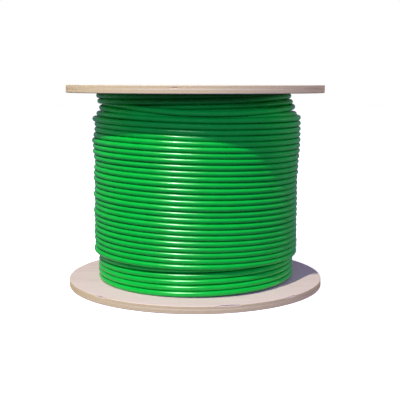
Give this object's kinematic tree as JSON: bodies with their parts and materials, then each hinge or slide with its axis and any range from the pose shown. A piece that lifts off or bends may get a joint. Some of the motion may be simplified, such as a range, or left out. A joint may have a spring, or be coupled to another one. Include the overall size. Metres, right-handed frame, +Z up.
{
  "type": "wire spool",
  "caption": "Plywood reel with two round flanges on a paperboard drum, wound with glossy green network cable; arbor hole and drive hole through both flanges.",
  "frame": {"origin": "centre of the lower flange's outer face, on the arbor axis; the spool stands on this face", "axes": "+Z up along the arbor axis, from the lower flange to the upper one; +X through the drive holes; -Y is the front"},
  "size_m": [0.4063, 0.4064, 0.3175],
  "materials": {
    "plywood": "raw sanded birch plywood, unfinished",
    "paperboard": "spiral-wound kraft paperboard, matte",
    "bush_plastic": "moulded black polypropylene, satin",
    "zinc_steel": "bright zinc plate",
    "cable_jacket": "extruded green PVC jacket, glossy",
    "staple_wire": "galvanised wire"
  },
  "bodies": {
    "root": {"lower_flange": "plywood", "upper_flange": "plywood", "drum_tube": "paperboard", "lower_arbor_bush": "bush_plastic", "upper_arbor_bush": "bush_plastic", "lower_bush_screws": "zinc_steel", "upper_bush_screws": "zinc_steel", "tie_bolts": "zinc_steel", "tee_nuts": "zinc_steel", "cable_layer_01": "cable_jacket", "cable_layer_02": "cable_jacket", "cable_layer_03": "cable_jacket", "cable_layer_04": "cable_jacket", "cable_layer_05": "cable_jacket", "cable_layer_06": "cable_jacket", "cable_layer_07": "cable_jacket", "cable_layer_08": "cable_jacket", "cable_layer_09": "cable_jacket", "cable_layer_10": "cable_jacket", "cable_layer_11": "cable_jacket", "cable_layer_12": "cable_jacket", "cable_start_tail": "cable_jacket", "cable_finish_tail": "cable_jacket", "finish_tail_staples": "staple_wire"}
  },
  "joints": []
}
